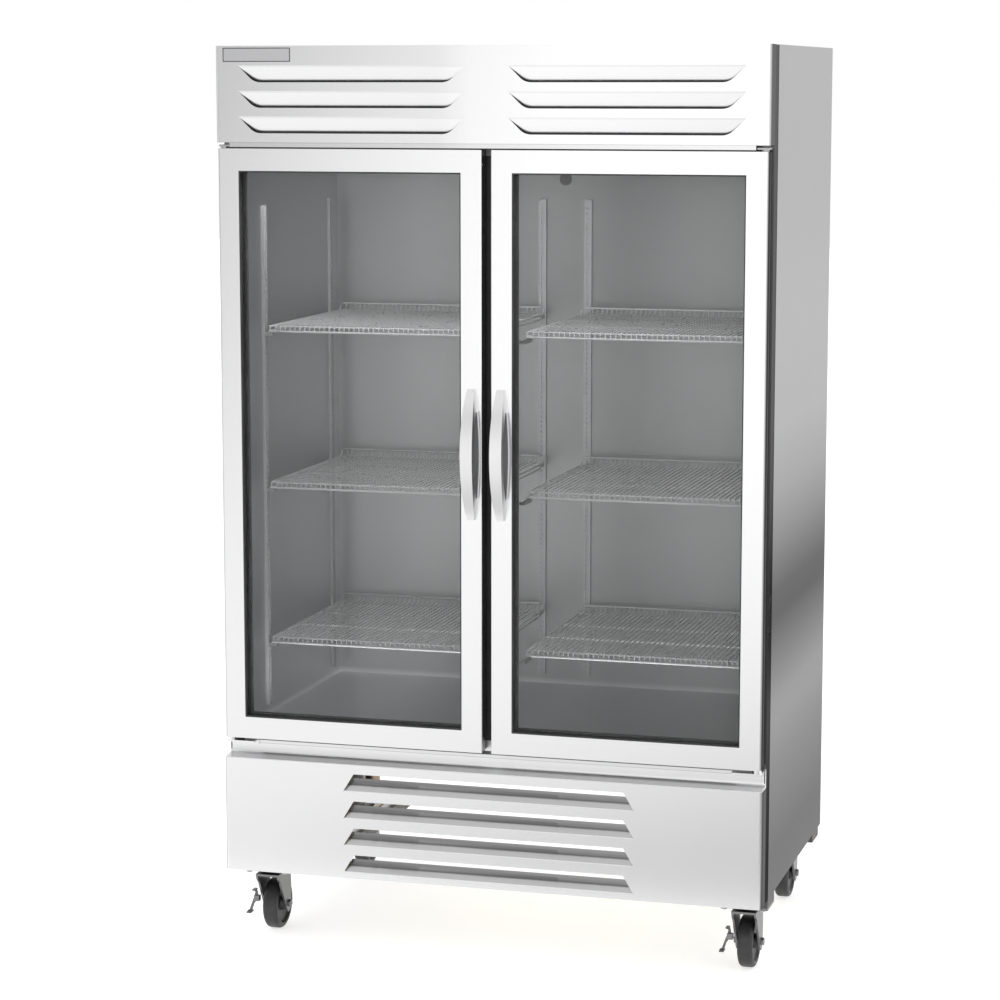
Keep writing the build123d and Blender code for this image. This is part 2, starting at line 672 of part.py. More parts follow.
def shelf_clips():
    """One clip under each shelf corner; those at the mullion reach out as short arms."""
    clips = []
    for z in SHELF_Z:
        for side in (-1, 1):
            wall = side * (CAVITY_X - 7.2)
            end = side * (SHELF_X + SHELF_WIDTH / 2 - 12)
            low, high = (z - 26, z - 18.2), (z - 14.0, z - 6.3)
            clips.append(box(sorted((wall, end)), (168, 184), low))
            clips.append(box(sorted((wall, end)), (654, 670), high))
            clips.append(box(sorted((side * 54, side * 65)), (682, 722.5), high))
            arm = box(sorted((side * 5, side * 62)), (113.5, 117), low)
            arm = arm + box(sorted((side * 54, side * 62)), (113.5, 178), low)
            clips.append(arm)
    return Compound(clips)


# ---- casters ----
def caster_top_plates():
    """Plate, hardened raceway and kingpin of each caster."""
    plates = []
    for x, y in (CASTER_FRONT, CASTER_REAR):
        for side in (-1, 1):
            centre = (side * x, y)
            reach = min(42.0, DEPTH - 2 * SHEET - y)
            plate = box((centre[0] - 57, centre[0] + 57), (y - 42, y + reach), PLATE_Z)
            race = cylinder("z", centre, (CROWN_TOP_Z + 0.3, PLATE_Z[0]), 31.0)
            race = fillet(race.edges().group_by(Axis.Z)[0], 4.0)
            pin = cylinder("z", centre, (CROWN_TOP_Z - 11, PLATE_Z[0]), AXLE_R)
            nut = cylinder("z", centre, (CROWN_TOP_Z - 13, CROWN_TOP_Z - 5.3), 9.5)
            plates.append(fused([plate, race, pin, nut]))
    return Compound(plates)


LEVER_PIN = (-38.0, 84.0)
LEVER_Y = (-16.0, -12.0)


def caster_fork(with_lever):
    """Pressed fork with its crown, tapering legs and axle bolt, about the swivel axis."""
    crown = box((-30, 30), (-42, 46), (CROWN_TOP_Z - 5, CROWN_TOP_Z))
    crown = crown - cylinder("z", (0, 0), (100, 200), AXLE_R + RUNNING_FIT)
    leg = polygon(
        (-42, CROWN_TOP_Z - 1), (46, CROWN_TOP_Z - 1), (50, 104), (47, 56), (40, 44),
        (26, 42), (16, 54), (-26, 128), (-38, 140),
    )
    legs = along_x(fillet(leg.vertices().sort_by(Axis.Y)[:4], 6.0), (25, 30))
    hub = (CASTER_TRAIL, WHEEL_R)
    fork = fused([crown, legs, other_side(legs)]) - cylinder("x", hub, (-40, 40), AXLE_R)
    if with_lever:
        for y in ((LEVER_Y[0] - 4.3, LEVER_Y[0] - 0.3), (LEVER_Y[1] + 0.3, LEVER_Y[1] + 4.3)):
            fork = fork + box((-44, -30), y, (LEVER_PIN[1] - 7, LEVER_PIN[1] + 7))
        fork = fork + cylinder("y", LEVER_PIN, (LEVER_Y[0] - 4.3, LEVER_Y[1] + 4.3), 3.0)
    bolt = cylinder("x", hub, (-34, 34), AXLE_R)
    for side in (-1, 1):
        hexagon = extrude(RegularPolygon(9.5, 6), amount=3, both=True)
        bolt = bolt + Pos(side * 33.1, *hub) * Rot(0, 90, 0) * hexagon
    return Compound([fork, bolt])


def caster_wheel():
    """Solid wheel with a rounded tread and a hub, bored for its axle."""
    half, tread, round_r = WHEEL_W / 2, WHEEL_R, 10.0
    shoulder = tread - round_r
    mid = round_r * (1 - cos(radians(45)))
    bore, hub_half = AXLE_R + RUNNING_FIT, 24.5
    left = Polyline(
        (-hub_half, bore), (-hub_half, 15), (-13, 19), (-13, 46), (-half, 50), (-half, shoulder)
    )
    arcs = [
        ThreePointArc((s * half, shoulder), (s * (half - mid), tread - mid), (s * (half - round_r), tread))
        for s in (-1, 1)
    ]
    top = Line((-half + round_r, tread), (half - round_r, tread))
    base = Line((-hub_half, bore), (hub_half, bore))
    section = make_face([left, mirror(left, about=Plane.YZ), top, base] + arcs)
    return Pos(0, CASTER_TRAIL, WHEEL_R) * revolve(Plane.XZ * section, axis=Axis.X)


def brake_lever():
    """Rocking pedal with an upper and a lower tread, bored for its pin."""
    x, z = LEVER_PIN
    boss = cylinder("y", LEVER_PIN, LEVER_Y, 6.3)
    arm = polygon(
        (x - 6, z + 4), (x - 3, z + 16), (x - 9, z + 18), (x - 9, z + 23), (x - 1, z + 23),
        (x + 2, z + 16), (x + 4, z), (x - 8, z - 16), (x - 13, z - 33), (x - 13, z - 38),
        (x - 24, z - 38), (x - 24, z - 33), (x - 19, z - 31), (x - 13, z - 14),
    )
    treads = [
        box((x - 24, x - 13), (LEVER_Y[0] - 9, LEVER_Y[1] + 9), (z - 38, z - 34.5)),
        box((x - 9, x - 1), (LEVER_Y[0] - 7, LEVER_Y[1] + 7), (z + 20, z + 23)),
    ]
    lever = fused([along_y(arm, LEVER_Y), boss] + treads)
    return lever - cylinder("y", LEVER_PIN, (-40, 10), 3.0 + RUNNING_FIT)


# ---- assembly ----
side_skin = outer_side()
nodes["outer_side_right"] = side_skin
nodes["outer_side_left"] = other_side(side_skin)
nodes["top_panel"] = top_panel()
nodes["back_panel"] = back_panel()
nodes["foam_insulation"] = foam_insulation()
nodes["inner_liner"] = inner_liner()
nodes["breaker_strips"] = breaker_strips()
nodes["door_sill"] = door_sill()
nodes["mullion_post"] = mullion_post()
nodes["interior_lamps"] = interior_lamps()
nodes["header_panel"] = header_panel()
nodes["nameplate"] = nameplate()
nodes["evaporator_coil"] = evaporator_coil()
nodes["evaporator_housing"] = evaporator_housing()
nodes["evaporator_fan_motors"] = evaporator_fan_motors()
for word, side in (("left", -1), ("right", 1)):
    nodes["evaporator_fan_" + word] = fan(
        (side * EVAPORATOR_FAN_X, EVAPORATOR_FAN_Z), EVAPORATOR_FAN_Y, EVAPORATOR_FAN_R, 20.0, 5, 4.0
    )

nodes["lower_panel"] = lower_panel()
nodes["base_frame"] = base_frame()
nodes["condensing_unit_tray"] = condensing_unit_tray()
nodes["compressor"] = compressor()
nodes["condenser_coil"] = condenser_coil()
nodes["condenser_shroud"] = condenser_shroud()
nodes["condenser_fan"] = fan(CONDENSER_FAN, (142.0, 166.0), CONDENSER_FAN_R, 24.0, 4, 4.0)
nodes["condenser_fan_motor"] = condenser_fan_motor()
nodes["refrigerant_lines"] = refrigerant_lines()
nodes["electrical_box"] = electrical_box()

pair("door_frame", door_frame())
pair("door_inner_frame", door_inner_frame())
pair("door_glass", door_glass())
pair("door_gasket", door_gasket())
pair("door_handle", door_handle())
pair("top_hinge", top_hinge())
pair("bottom_hinge", bottom_hinge())

shelf = wire_shelf()
for level, z in zip(("lower", "middle", "upper"), SHELF_Z):
    for word, side in (("left", -1), ("right", 1)):
        nodes[f"{word}_shelf_{level}"] = Pos(side * SHELF_X, 0, z) * shelf
nodes["pilasters"] = pilasters()
nodes["shelf_clips"] = shelf_clips()

nodes["caster_top_plates"] = caster_top_plates()
wheel = caster_wheel()
for row, (x, y) in (("front", CASTER_FRONT), ("rear", CASTER_REAR)):
    fork = caster_fork(row == "front")
    for word, side in (("left", -1), ("right", 1)):
        place = Pos(side * x, y, 0)
        nodes[f"caster_fork_{row}_{word}"] = place * fork
        nodes[f"caster_wheel_{row}_{word}"] = place * wheel
        if row == "front":
            nodes[f"brake_lever_{word}"] = place * brake_lever()

os.makedirs("parts", exist_ok=True)
for name, shape in nodes.items():
    export_step(Pos(0, -Y_MIDDLE, 0) * shape, f"parts/{name}.step")
print(len(nodes), "nodes, depth", DEPTH_ALL, "middle", Y_MIDDLE)
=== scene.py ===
import math

import bmesh
import bpy
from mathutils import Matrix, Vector


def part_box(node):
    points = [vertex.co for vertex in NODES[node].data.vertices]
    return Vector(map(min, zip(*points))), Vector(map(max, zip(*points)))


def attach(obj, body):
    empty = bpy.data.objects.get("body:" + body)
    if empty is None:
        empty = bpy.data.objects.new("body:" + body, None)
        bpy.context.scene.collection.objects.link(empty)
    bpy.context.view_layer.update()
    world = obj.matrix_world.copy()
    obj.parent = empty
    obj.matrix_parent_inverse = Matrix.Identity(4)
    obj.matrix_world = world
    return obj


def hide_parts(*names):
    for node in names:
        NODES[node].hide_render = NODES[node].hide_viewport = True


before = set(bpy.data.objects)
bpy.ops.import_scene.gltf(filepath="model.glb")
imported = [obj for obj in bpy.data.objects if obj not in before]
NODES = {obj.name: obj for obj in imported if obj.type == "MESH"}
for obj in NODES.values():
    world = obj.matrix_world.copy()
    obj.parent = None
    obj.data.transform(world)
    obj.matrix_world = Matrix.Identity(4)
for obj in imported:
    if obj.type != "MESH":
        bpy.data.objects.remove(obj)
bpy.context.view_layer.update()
MM = 0.001
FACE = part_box("left_door_frame")[0][1]
Y_MIDDLE = -FACE
SIDES = ("left", "right")
ROWS = ("front", "rear")
LEVELS = ("lower", "middle", "upper")


# ---- small helpers ----
def low_high(node):
    """The node's lowest and highest corners, as plain vectors."""
    low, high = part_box(node)
    return Vector(low), Vector(high)


def new_object(name, mesh, material, body):
    piece = bpy.data.objects.new(name, mesh)
    bpy.context.scene.collection.objects.link(piece)
    piece.data.materials.clear()
    piece.data.materials.append(material)
    if body:
        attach(piece, body)
    return piece


def mesh_from(name, build):
    """A new mesh filled by build(bm)."""
    bm = bmesh.new()
    build(bm)
    bmesh.ops.recalc_face_normals(bm, faces=bm.faces)
    mesh = bpy.data.meshes.new(name)
    bm.to_mesh(mesh)
    bm.free()
    return mesh


def add_box(bm, low, high):
    """A closed box between two opposite corners."""
    corners = [
        bm.verts.new((x, y, z))
        for x in (low[0], high[0])
        for y in (low[1], high[1])
        for z in (low[2], high[2])
    ]
    for quad in ((0, 1, 3, 2), (4, 6, 7, 5), (0, 4, 5, 1), (2, 3, 7, 6), (0, 2, 6, 4), (1, 5, 7, 3)):
        bm.faces.new([corners[i] for i in quad])


def add_turned(bm, profile, centre, axis, segments=20):
    """Turns an open (along, radius) profile about axis 0 x, 1 y or 2 z, and caps both ends."""
    rings = []
    for along, radius in profile:
        ring = []
        for i in range(segments):
            angle = 2 * math.pi * i / segments
            point = [0.0, 0.0, 0.0]
            point[axis] = along
            point[(axis + 1) % 3] = radius * math.cos(angle)
            point[(axis + 2) % 3] = radius * math.sin(angle)
            ring.append(bm.verts.new(Vector(point) + Vector(centre)))
        rings.append(ring)
    for a, b in zip(rings, rings[1:]):
        for i in range(segments):
            j = (i + 1) % segments
            bm.faces.new((a[i], a[j], b[j], b[i]))
    bm.faces.new(rings[0])
    bm.faces.new(rings[-1])


def add_screw(bm, place, axis, out, radius=3.4 * MM, tall=1.8 * MM):
    """A pan head with a round socket, standing on a face that looks along out times the axis."""
    shape = [(0.0, 1.0), (0.4, 1.0), (0.8, 0.84), (1.0, 0.52), (1.0, 0.36), (0.5, 0.32)]
    add_turned(bm, [(out * tall * along, radius * wide) for along, wide in shape], place, axis)


def bevel(piece, width, segments=2):
    mod = piece.modifiers.new("Edges", "BEVEL")
    mod.width = width
    mod.segments = segments
    mod.limit_method = "ANGLE"
    mod.angle_limit = math.radians(35)
    mod.harden_normals = True


def wires(name, paths, radius, material, body, sides=1, closed=False):
    """Round wires along straight-sided paths, as one mesh."""
    curve = bpy.data.curves.new(name, "CURVE")
    curve.dimensions = "3D"
    curve.bevel_depth = radius
    curve.bevel_resolution = sides
    curve.use_fill_caps = not closed
    for path in paths:
        spline = curve.splines.new("POLY")
        spline.points.add(len(path) - 1)
        for point, place in zip(spline.points, path):
            point.co = (*place, 1.0)
        spline.use_cyclic_u = closed
    holder = bpy.data.objects.new(name + "_curve", curve)
    mesh = bpy.data.meshes.new_from_object(holder)
    bpy.data.objects.remove(holder)
    bpy.data.curves.remove(curve)
    for polygon in mesh.polygons:
        polygon.use_smooth = True
    return new_object(name, mesh, material, body)


# ---- materials ----
class Shader:
    """A Principled material with helpers to wire noise into it."""

    def __init__(self, name, color, roughness, metallic=0.0):
        self.material = bpy.data.materials.new(name)
        self.material.use_nodes = True
        self.tree = self.material.node_tree
        self.surface = self.tree.nodes["Principled BSDF"]
        self.surface.inputs["Base Color"].default_value = (*color, 1.0)
        self.surface.inputs["Roughness"].default_value = roughness
        self.surface.inputs["Metallic"].default_value = metallic
        self.color = color
        self.roughness = roughness
        self.coords = self.node("ShaderNodeTexCoord").outputs["Object"]

    def node(self, kind, **values):
        made = self.tree.nodes.new(kind)
        for key, value in values.items():
            setattr(made, key, value)
        return made

    def link(self, a, b):
        self.tree.links.new(a, b)

    def set(self, name, value):
        self.surface.inputs[name].default_value = value
        return self

    def noise(self, scale, stretch=(1, 1, 1), detail=4.0, rough=0.55):
        """A noise value in object space, in cycles per metre, stretched per axis."""
        mapping = self.node("ShaderNodeMapping")
        mapping.inputs["Scale"].default_value = stretch
        self.link(self.coords, mapping.inputs["Vector"])
        noise = self.node("ShaderNodeTexNoise")
        noise.inputs["Scale"].default_value = scale
        noise.inputs["Detail"].default_value = detail
        noise.inputs["Roughness"].default_value = rough
        self.link(mapping.outputs["Vector"], noise.inputs["Vector"])
        return noise.outputs["Fac"]

    def remap(self, value, low, high, source=(0.3, 0.7)):
        remap = self.node("ShaderNodeMapRange")
        self.link(value, remap.inputs["Value"])
        remap.inputs["From Min"].default_value = source[0]
        remap.inputs["From Max"].default_value = source[1]
        remap.inputs["To Min"].default_value = low
        remap.inputs["To Max"].default_value = high
        return remap.outputs["Result"]

    def tint(self, value, other, amount):
        """Mixes another colour over the present one by a value, up to amount."""
        mix = self.node("ShaderNodeMix", data_type="RGBA")
        socket = self.surface.inputs["Base Color"]
        if socket.is_linked:
            self.link(socket.links[0].from_socket, mix.inputs["A"])
        else:
            mix.inputs["A"].default_value = (*self.color, 1.0)
        mix.inputs["B"].default_value = (*other, 1.0)
        self.link(self.remap(value, 0.0, amount), mix.inputs["Factor"])
        self.link(mix.outputs["Result"], socket)
        return self

    def rough(self, value, spread):
        self.link(
            self.remap(value, self.roughness - spread, self.roughness + spread),
            self.surface.inputs["Roughness"],
        )
        return self

    def bump(self, value, height, strength=1.0):
        node = self.node("ShaderNodeBump")
        node.inputs["Strength"].default_value = strength
        node.inputs["Distance"].default_value = height
        self.link(value, node.inputs["Height"])
        socket = self.surface.inputs["Normal"]
        if socket.is_linked:
            self.link(socket.links[0].from_socket, node.inputs["Normal"])
        self.link(node.outputs["Normal"], socket)
        return self


def steel(name, color, roughness, grain=(1, 1, 0.02), contrast=0.12, bump=0.00004, drift=0.35, spread=0.07):
    """Brushed sheet: fine grain, slow tone drift and faint handling marks."""
    shader = Shader(name, color, roughness, metallic=1.0)
    darker = tuple(c * 0.78 for c in color)
    lighter = tuple(min(c * 1.15, 1.0) for c in color)
    fine = shader.noise(900.0, grain, 3.0)
    shader.tint(fine, darker, contrast)
    shader.tint(shader.noise(2.2, (1, 1, 0.6), 2.0), lighter, drift)
    shader.tint(shader.noise(26.0, (1, 1, 1), 5.0, 0.65), darker, contrast * 0.8)
    shader.rough(shader.noise(340.0, grain, 4.0), spread)
    shader.bump(fine, bump)
    return shader.material


def front_steel(name, color=(0.86, 0.86, 0.865), roughness=0.26):
    """Finely polished sheet, whose grain only shows up close."""
    return steel(name, color, roughness, contrast=0.02, bump=0.000001, drift=0.06, spread=0.012)


def graded(tree, value, stops, gain=1.0):
    """A grey tone that a value picks from (place, tone) stops, times a gain."""
    start, span = stops[0][0], stops[-1][0] - stops[0][0]
    scale = tree.nodes.new("ShaderNodeMapRange")
    scale.inputs["From Min"].default_value = start
    scale.inputs["From Max"].default_value = start + span
    tree.links.new(value, scale.inputs["Value"])
    ramp = tree.nodes.new("ShaderNodeValToRGB")
    while len(ramp.color_ramp.elements) < len(stops):
        ramp.color_ramp.elements.new(0.5)
    for element, (place, tone) in zip(ramp.color_ramp.elements, stops):
        element.position = (place - start) / span
        element.color = (tone * gain, tone * gain, tone * gain, 1.0)
    tree.links.new(scale.outputs["Result"], ramp.inputs["Fac"])
    return ramp.outputs["Color"]


def tone_ramp(tree, axis, stops):
    """A grey tone that changes along one of the object's own axes."""
    coords = tree.nodes.new("ShaderNodeTexCoord")
    parts = tree.nodes.new("ShaderNodeSeparateXYZ")
    tree.links.new(coords.outputs["Object"], parts.inputs["Vector"])
    return graded(tree, parts.outputs[axis], stops)


def shade_along(material, axis, stops, socket_name="Base Color"):
    """Multiplies a colour socket by tones that change along one of the object's own axes."""
    tree = material.node_tree
    socket = tree.nodes["Principled BSDF"].inputs[socket_name]
    tone = tone_ramp(tree, axis, stops)
    if socket.is_linked:
        mix = tree.nodes.new("ShaderNodeMix")
        mix.data_type = "RGBA"
        mix.blend_type = "MULTIPLY"
        mix.inputs["Factor"].default_value = 1.0
        tree.links.new(socket.links[0].from_socket, mix.inputs["A"])
        tree.links.new(tone, mix.inputs["B"])
        tone = mix.outputs["Result"]
    tree.links.new(tone, socket)
    return material


def shade_all(material, axis, stops):
    """Shades the face-on colour and the grazing reflection alike."""
    shade_along(material, axis, stops)
    return shade_along(material, axis, stops, "Specular Tint")


def painted(name, color, roughness, grain=420.0, metallic=0.0, wear=0.25, height=0.00006):
    """Paint, moulded plastic or rubber: orange peel, dust and tone drift."""
    shader = Shader(name, color, roughness, metallic)
    dust = tuple(c + (0.55 - c) * 0.35 for c in color)
    dark = tuple(c * 0.7 for c in color)
    shader.tint(shader.noise(9.0, (1, 1, 1), 6.0, 0.7), dust, wear)
    shader.tint(shader.noise(60.0, (1, 1, 1), 4.0), dark, wear)
    shader.rough(shader.noise(30.0, (1, 1, 1), 5.0), 0.08)
    shader.bump(shader.noise(grain, (1, 1, 1), 3.0), height)
    return shader.material


def glass_material():
    """Lightly tinted clear pane with faint upright bands."""
    shader = Shader("clear_glazing", (0.24, 0.245, 0.245), 0.03)
    shader.set("IOR", 1.5)
    streak = shader.noise(5.0, (1, 1, 0.02), 1.0)
    shader.link(shader.remap(streak, 0.025, 0.05), shader.surface.inputs["Alpha"])
    shader.rough(shader.noise(12.0, (1, 1, 1), 2.0), 0.02)
    return shader.material


def tread_material():
    """Hard black tread with a dusty rolling surface."""
    shader = Shader("caster_tread", (0.014, 0.014, 0.015), 0.45)
    shader.tint(shader.noise(40.0, (1, 1, 1), 6.0, 0.7), (0.06, 0.06, 0.06), 0.3)
    shader.rough(shader.noise(70.0, (1, 1, 1), 4.0), 0.1)
    shader.bump(shader.noise(600.0, (1, 1, 1), 3.0), 0.00008)
    return shader.material


# ---- shading along the sheets: (place in metres along one axis, tone) ----
# Heights: painted reflection, the soft light and dark bands that the outer sides would mirror from the
# room.
SIDE_PAINTED_REFLECTIONS = [
    (0.20, 0.36), (0.30, 0.34), (0.50, 0.48), (0.61, 0.59), (0.66, 0.58), (0.76, 0.40), (0.86, 0.23),
    (0.92, 0.25), (0.98, 0.36), (1.06, 0.52), (1.16, 0.69), (1.30, 0.83), (1.70, 0.92), (2.14, 1.0),
]
# Depths: painted shade, a darker strip along the front of the outer sides.
SIDE_FRONT_PAINTED_SHADE = [(FACE + 0.049, 0.42), (FACE + 0.0900, 0.42), (FACE + 0.0908, 1.0), (FACE + 0.8, 1.0)]
# Widths: painted shade on the folded-back ends of the header and the lower panel.
TRAY_ENDS_PAINTED_SHADE = [
    (-0.6605, 0.30), (-0.6598, 0.30), (-0.6580, 1.0), (0.6580, 1.0), (0.6598, 0.30), (0.6605, 0.30),
]
# Heights: a thin dark line near the header's bottom edge, and the strip below it.
HEADER_SEAM = [
    (1.9420, 0.86), (1.9523, 0.86), (1.9526, 0.66), (1.9538, 0.66), (1.9541, 1.0), (2.1760, 1.0),
    (2.1777, 1.0),
]
# Depths: painted light on the louvre blades, a little lighter than the header's face.
HEADER_BLADES_PAINTED_LIGHT = [
    (FACE - 0.0004, 1.0), (FACE + 0.0011, 1.0), (FACE + 0.0015, 1.10), (FACE + 0.0500, 1.10),
]
# Widths: painted reflection, the header's left half darker as if it mirrored a darker part of the room.
HEADER_PAINTED_REFLECTION = [(-0.66, 0.91), (-0.12, 0.91), (-0.04, 1.0), (0.66, 1.0)]
# Widths and heights: painted light, the lining lighter to the left and at its floor.
LINER_PAINTED_LIGHT_ACROSS = [
    (-0.62, 1.08), (-0.40, 1.05), (-0.20, 0.80), (0.05, 0.84), (0.20, 0.74), (0.45, 0.68), (0.62, 0.62),
]
LINER_PAINTED_LIGHT_UP = [
    (0.540, 1.60), (0.548, 1.60), (0.560, 1.10), (0.80, 1.05), (1.20, 1.0), (1.70, 0.94), (2.15, 0.90),
]
# Widths and depths: painted shade on the doors' outer edges and backs.
DOOR_EDGES_PAINTED_SHADE = [
    (-0.6575, 0.10), (-0.6555, 0.10), (-0.6545, 1.0), (0.6545, 1.0), (0.6555, 0.10), (0.6575, 0.10),
]
DOOR_BACKS_PAINTED_SHADE = [(FACE - 0.001, 1.0), (FACE + 0.0030, 1.0), (FACE + 0.0080, 0.60), (FACE + 0.0250, 0.60)]
# Depths: painted shade on the lower louvres' blades, darkest in the fold.
LOUVRE_PAINTED_SHADE = [
    (FACE - 0.0004, 1.0), (FACE + 0.0011, 1.0), (FACE + 0.0015, 0.60), (FACE + 0.0080, 0.56),
    (FACE + 0.0096, 0.15), (FACE + 0.0116, 0.29), (FACE + 0.0168, 0.31), (FACE + 0.0185, 0.80),
    (FACE + 0.0500, 0.80),
]
# Heights: painted shade and painted highlight along the sill's folds.
SILL_PAINTED_SHADE = [
    (0.4739, 0.88), (0.4752, 0.90), (0.4785, 0.90), (0.4795, 0.84), (0.4808, 0.90), (0.4870, 0.95),
    (0.4930, 1.0), (0.5000, 1.05), (0.5034, 1.05), (0.5038, 0.78), (0.5050, 0.78), (0.5055, 1.0),
    (0.5440, 1.0),
]
# Depths: the nameplate's dark rim, which stands in front of its pale face.
PLATE_DEPTHS = [(FACE - 0.0017, 0.17), (FACE - 0.0013, 0.17), (FACE - 0.00125, 1.0), (FACE + 0.001, 1.0)]


SIDE_TONE = 0.45
GRAZING_SHARE = 0.39
BAND_GAIN = 0.585


def face_on_reflection_tone(band):
    """A painted reflection band's tone face on: half as deep as the band itself."""
    return 0.5 + 0.5 * band


def grazing_reflection_tone(band):
    """The edge tint that keeps a painted reflection band dark when the side is seen at a narrow angle."""
    face_on = SIDE_TONE * face_on_reflection_tone(band)
    grazing = face_on + (1 - face_on) * GRAZING_SHARE
    return min(1.0, BAND_GAIN * band / grazing)


FRONT = front_steel("front_stainless")
HEADER = shade_along(front_steel("header_stainless"), "Z", HEADER_SEAM)
# Painted light: the header's louvre blades a little lighter than its face.
shade_along(HEADER, "Y", HEADER_BLADES_PAINTED_LIGHT)
# Painted reflection: the header's left half darker.
shade_along(HEADER, "X", HEADER_PAINTED_REFLECTION)
# Painted shade on the header's folded-back ends.
shade_all(HEADER, "X", TRAY_ENDS_PAINTED_SHADE)
# Painted shade on the doors' outer edges and backs.
DOOR = shade_all(shade_all(front_steel("door_stainless"), "X", DOOR_EDGES_PAINTED_SHADE), "Y", DOOR_BACKS_PAINTED_SHADE)
# Painted shade in the lower louvres' folds and on the panel's ends.
LOUVRED = shade_all(shade_along(front_steel("louvred_stainless"), "Y", LOUVRE_PAINTED_SHADE), "X", TRAY_ENDS_PAINTED_SHADE)
# Painted shade and painted highlight along the sill's folds.
SILL = shade_along(front_steel("sill_stainless", roughness=0.36), "Z", SILL_PAINTED_SHADE)
PLATE = steel("nameplate_satin", (0.58, 0.58, 0.59), 0.40, (1, 1, 0.1), 0.03, 0.000001, 0.05, 0.02)
shade_along(PLATE, "Y", PLATE_DEPTHS)
TOP = steel("top_stainless", (0.45, 0.45, 0.455), 0.36, (1, 1, 1), 0.05, 0.000002, 0.08, 0.02)
SIDE = steel(
    "side_stainless", (0.44, 0.44, 0.445), 0.36, contrast=0.05, bump=0.000002, drift=0.08, spread=0.02
)
# Painted reflection bands on the outer sides, face on and at a narrow angle.
shade_along(SIDE, "Z", [(z, face_on_reflection_tone(band)) for z, band in SIDE_PAINTED_REFLECTIONS])
shade_along(SIDE, "Z", [(z, grazing_reflection_tone(band)) for z, band in SIDE_PAINTED_REFLECTIONS], "Specular Tint")
# Painted shade along the front strip of the outer sides.
shade_all(SIDE, "Y", SIDE_FRONT_PAINTED_SHADE)
GALVANISED = steel("galvanised_sheet", (0.50, 0.51, 0.52), 0.42, (1, 1, 1), 0.5)
LINER = steel("liner_sheet", (0.54, 0.545, 0.55), 0.42, (1, 1, 0.05), 0.04, 0.000001, 0.10, 0.02)
# Painted light on the lining, across it and up from its floor.
shade_along(LINER, "X", LINER_PAINTED_LIGHT_ACROSS)
shade_along(LINER, "Z", LINER_PAINTED_LIGHT_UP)
STRIP = painted("pilaster_sheet", (0.40, 0.405, 0.41), 0.40, 500.0, 0.5, 0.06, 0.000004)
ZINC = steel("zinc_plate", (0.46, 0.46, 0.465), 0.36, (1, 1, 1), 0.35)
SATIN = steel("satin_cast_metal", (0.78, 0.78, 0.785), 0.32, (1, 1, 0.08), 0.03, 0.000001, 0.06, 0.015)
FORK = steel("fork_plating", (0.22, 0.22, 0.225), 0.38, (1, 1, 1), 0.2, 0.00001, 0.2, 0.04)
LEVER = painted("lever_plating", (0.13, 0.13, 0.132), 0.40, 500.0, 0.5, 0.12, 0.00001)
ALUMINIUM = steel("mill_aluminium", (0.74, 0.75, 0.76), 0.34, (0.05, 1, 1), 0.3)
COPPER = steel("drawn_copper", (0.46, 0.34, 0.27), 0.34, (1, 1, 0.1), 0.35)
WIRE = painted("epoxy_wire", (0.38, 0.385, 0.39), 0.32, 300.0, 0.0, 0.2)
BLACK = painted("black_enamel", (0.02, 0.02, 0.021), 0.30, 200.0, 0.0, 0.12)
DARK = painted("dark_primer", (0.05, 0.042, 0.038), 0.5, 260.0, 0.0, 0.3)
PLASTIC = painted("black_moulding", (0.018, 0.018, 0.02), 0.42, 900.0, 0.0, 0.12)
GREY = painted("grey_moulding", (0.34, 0.345, 0.35), 0.45, 700.0, 0.0, 0.2)
FOAM = painted("foam_block", (0.80, 0.70, 0.46), 0.85, 120.0, 0.0, 0.4, 0.0004)
INNER = painted("charcoal_moulding", (0.05, 0.05, 0.052), 0.42, 900.0, 0.0, 0.12)
GRIP = painted("grip_lining", (0.12, 0.12, 0.125), 0.5, 600.0, 0.0, 0.15)
RUBBER = painted("gasket_rubber", (0.014, 0.014, 0.015), 0.55, 500.0, 0.0, 0.15)
LAMP = painted("lamp_diffuser", (0.80, 0.81, 0.82), 0.35, 500.0, 0.0, 0.08)
TREAD = tread_material()
GLASS = glass_material()

LOOKS = {
    FRONT: ["left_bottom_hinge", "right_bottom_hinge"],
    HEADER: ["header_panel"],
    DOOR: ["left_door_frame", "right_door_frame"],
    LOUVRED: ["lower_panel"],
    SILL: ["door_sill"],
    PLATE: ["nameplate"],
    SIDE: ["outer_side_left", "outer_side_right"],
    TOP: ["top_panel"],
    GALVANISED: ["back_panel", "condensing_unit_tray", "condenser_shroud", "electrical_box"],
    LINER: ["inner_liner", "evaporator_housing", "pilasters"],
    ZINC: ["left_top_hinge", "right_top_hinge", "shelf_clips"],
    FORK: ["caster_top_plates"] + [f"caster_fork_{row}_{side}" for row in ROWS for side in SIDES],
    LEVER: ["brake_lever_left", "brake_lever_right"],
    SATIN: ["left_door_handle", "right_door_handle"],
    ALUMINIUM: ["evaporator_coil", "condenser_coil", "condenser_fan"],
    COPPER: ["refrigerant_lines"],
    WIRE: [f"{side}_shelf_{level}" for side in SIDES for level in LEVELS],
    BLACK: ["compressor", "condenser_fan_motor", "evaporator_fan_motors"],
    DARK: ["base_frame"],
    PLASTIC: ["mullion_post"],
    INNER: ["left_door_inner_frame", "right_door_inner_frame"],
    GREY: ["breaker_strips", "evaporator_fan_left", "evaporator_fan_right"],
    FOAM: ["foam_insulation"],
    RUBBER: ["left_door_gasket", "right_door_gasket"],
    LAMP: ["interior_lamps"],
    TREAD: [f"caster_wheel_{row}_{side}" for row in ROWS for side in SIDES],
    GLASS: ["left_door_glass", "right_door_glass"],
}
for material, names in LOOKS.items():
    for name in names:
        for part_slot in NODES[name].material_slots:
            part_slot.material = material

# ---- wire shelves ----
WIRE_PITCH = 12.5 * MM


